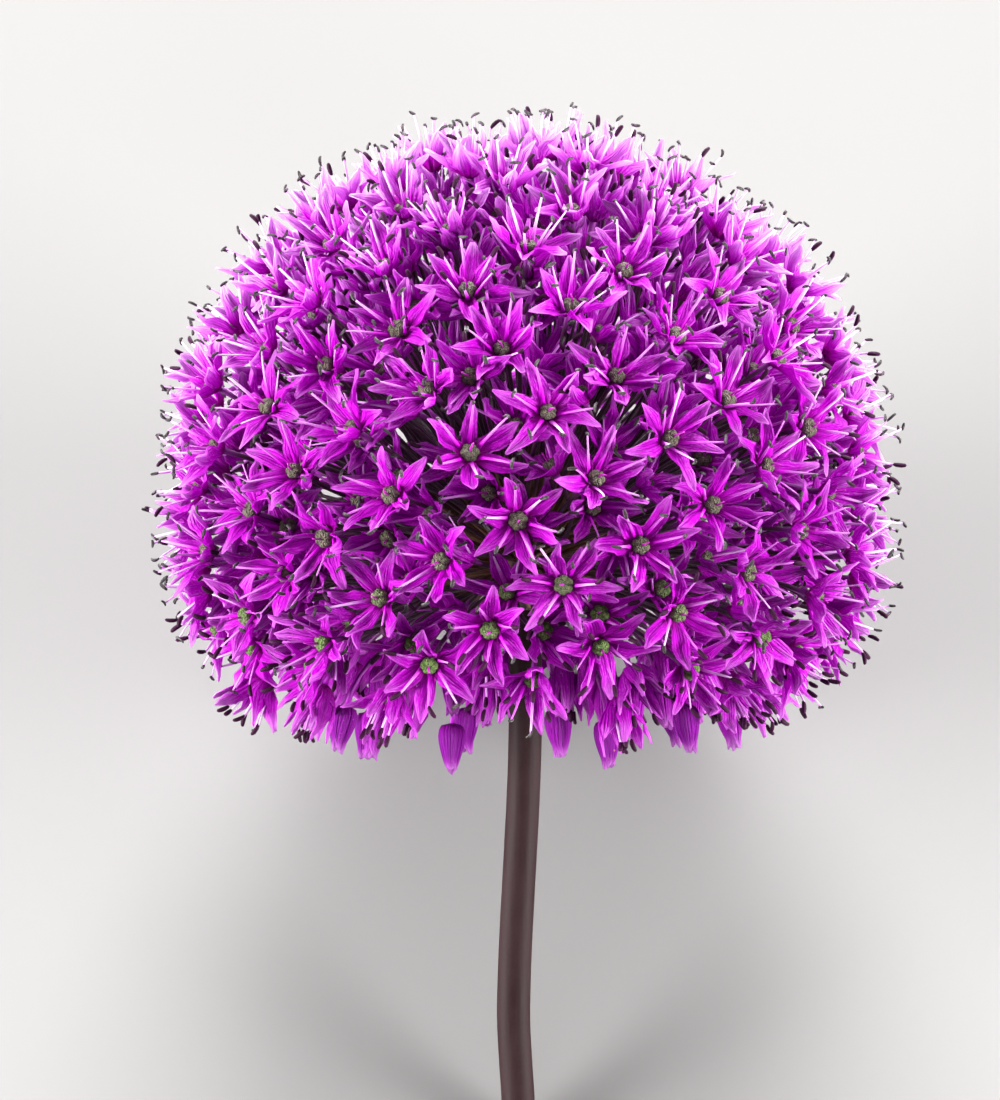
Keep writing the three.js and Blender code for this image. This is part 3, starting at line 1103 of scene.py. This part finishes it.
class ALLIUM_OT_stamens(bpy.types.Operator):
    """The filaments and the fresh and spent anthers of the open florets."""

    bl_idname = "allium.stamens"
    bl_label = "Stamens"

    def execute(self, context):
        settings = context.scene.allium
        colours = settings.colours
        florets = open_florets(settings)
        filaments(florets, settings).finish("filaments", filament_finish(colours), "filaments")
        fresh = anthers(florets, settings, spent=False)
        fresh.finish("fresh_anthers", fresh_anther_finish(colours), "anthers")
        spent = anthers(florets, settings, spent=True)
        spent.finish("spent_anthers", spent_anther_finish(colours), "anthers")
        return {"FINISHED"}


class ALLIUM_OT_ovaries(bpy.types.Operator):
    """The lobed ovaries and their styles."""

    bl_idname = "allium.ovaries"
    bl_label = "Ovaries and styles"

    def execute(self, context):
        settings = context.scene.allium
        florets = open_florets(settings)
        ovaries(florets, settings).finish("ovaries", ovary_finish(settings.colours), "ovaries")
        styles(florets, settings).finish("styles", style_finish(settings.colours), "tepals")
        return {"FINISHED"}


class ALLIUM_OT_stage(bpy.types.Operator):
    """The pale floor, the soft studio light and the camera."""

    bl_idname = "allium.stage"
    bl_label = "Floor, light and camera"

    def execute(self, context):
        settings = context.scene.allium
        self.lay_floor(settings)
        self.hang_lights()
        self.set_camera(settings)
        return {"FINISHED"}

    def lay_floor(self, settings):
        bm = bmesh.new()
        bmesh.ops.create_grid(bm, x_segments=1, y_segments=1, size=5)
        floor = placed(bm, "floor", floor_finish(settings.colours))

    def hang_lights(self):
        """Broad soft lights: low beyond the crown and at both sides, weak above and in front."""
        aim = Vector((0, 0, 0.05))
        # Each light's place and width in metres, and its power.
        for name, place, width, watts in (
            ("crown light", (0.12, 3.55, 1.45), 2.0, 820.0),
            ("left light", (-3.0, -0.5, 0.68), 1.75, 530.0),
            ("right light", (3.0, -0.7, 0.68), 1.75, 490.0),
            ("overhead light", (-0.75, 0.0, 2.9), 2.25, 24.0),
            ("front light", (0.75, -2.25, 2.2), 1.75, 5.0),
        ):
            lamp = bpy.data.lights.new(name, "AREA")
            lamp.size = width
            lamp.energy = watts
            light = bpy.data.objects.new(name, lamp)
            light.location = place
            light.visible_camera = False
            light.rotation_euler = (aim - Vector(place)).to_track_quat("-Z", "Y").to_euler()
            bpy.context.scene.collection.objects.link(light)
        world = bpy.data.worlds.new("soft room")
        world.use_nodes = True
        sky = world.node_tree.nodes["Background"]
        sky.inputs["Color"].default_value = (1.0, 0.99, 0.98, 1.0)
        sky.inputs["Strength"].default_value = 0.31
        bpy.context.scene.world = world
        bpy.context.scene.view_settings.view_transform = "Standard"

    def set_camera(self, settings):
        """Looks square at the stem from the flower's front, as the flower was seen."""
        distance, view_height, sensor = 700 * MM, 165 * MM, 36.0
        aim_across, aim_up = -3.8 * MM, 2.2 * MM
        lens = bpy.data.cameras.new("camera")
        lens.sensor_width = sensor
        lens.lens = sensor * distance / view_height
        lens.clip_start = 0.05
        camera = bpy.data.objects.new("camera", lens)
        upright = Matrix.Translation((aim_across, -distance, aim_up))
        camera.matrix_world = laid_down(settings) @ upright @ Matrix.Rotation(math.pi / 2, 4, "X")
        bpy.context.scene.collection.objects.link(camera)
        bpy.context.scene.camera = camera


class ALLIUM_PT_panel(bpy.types.Panel):
    """Sizes, colours and pieces of the flower head."""

    bl_idname = "ALLIUM_PT_panel"
    bl_label = "Allium flower head"
    bl_space_type = "VIEW_3D"
    bl_region_type = "UI"
    bl_category = "Allium"

    def draw(self, context):
        settings = context.scene.allium
        for group in ("head", "floret", "stalk", "stem", "lying", "colours"):
            box = self.layout.box()
            box.label(text=group.capitalize())
            sizes = getattr(settings, group)
            for name in sizes.bl_rna.properties.keys():
                if name not in ("rna_type", "name"):
                    box.prop(sizes, name)
        for operator in OPERATORS:
            self.layout.operator(operator.bl_idname)


OPERATORS = (
    ALLIUM_OT_stem,
    ALLIUM_OT_stalks,
    ALLIUM_OT_tepals,
    ALLIUM_OT_stamens,
    ALLIUM_OT_ovaries,
    ALLIUM_OT_stage,
)
CLASSES = (
    HeadSizes,
    FloretSizes,
    StalkSizes,
    StemSizes,
    LyingPose,
    FlowerColours,
    AlliumSettings,
    *OPERATORS,
    ALLIUM_PT_panel,
)


def register():
    for cls in CLASSES:
        bpy.utils.register_class(cls)
    bpy.types.Scene.allium = PointerProperty(type=AlliumSettings)


def unregister():
    del bpy.types.Scene.allium
    for cls in reversed(CLASSES):
        bpy.utils.unregister_class(cls)


def main():
    register()
    bpy.ops.allium.stem()
    bpy.ops.allium.stalks()
    bpy.ops.allium.tepals()
    bpy.ops.allium.stamens()
    bpy.ops.allium.ovaries()
    bpy.ops.allium.stage()


if __name__ == "__main__":
    main()
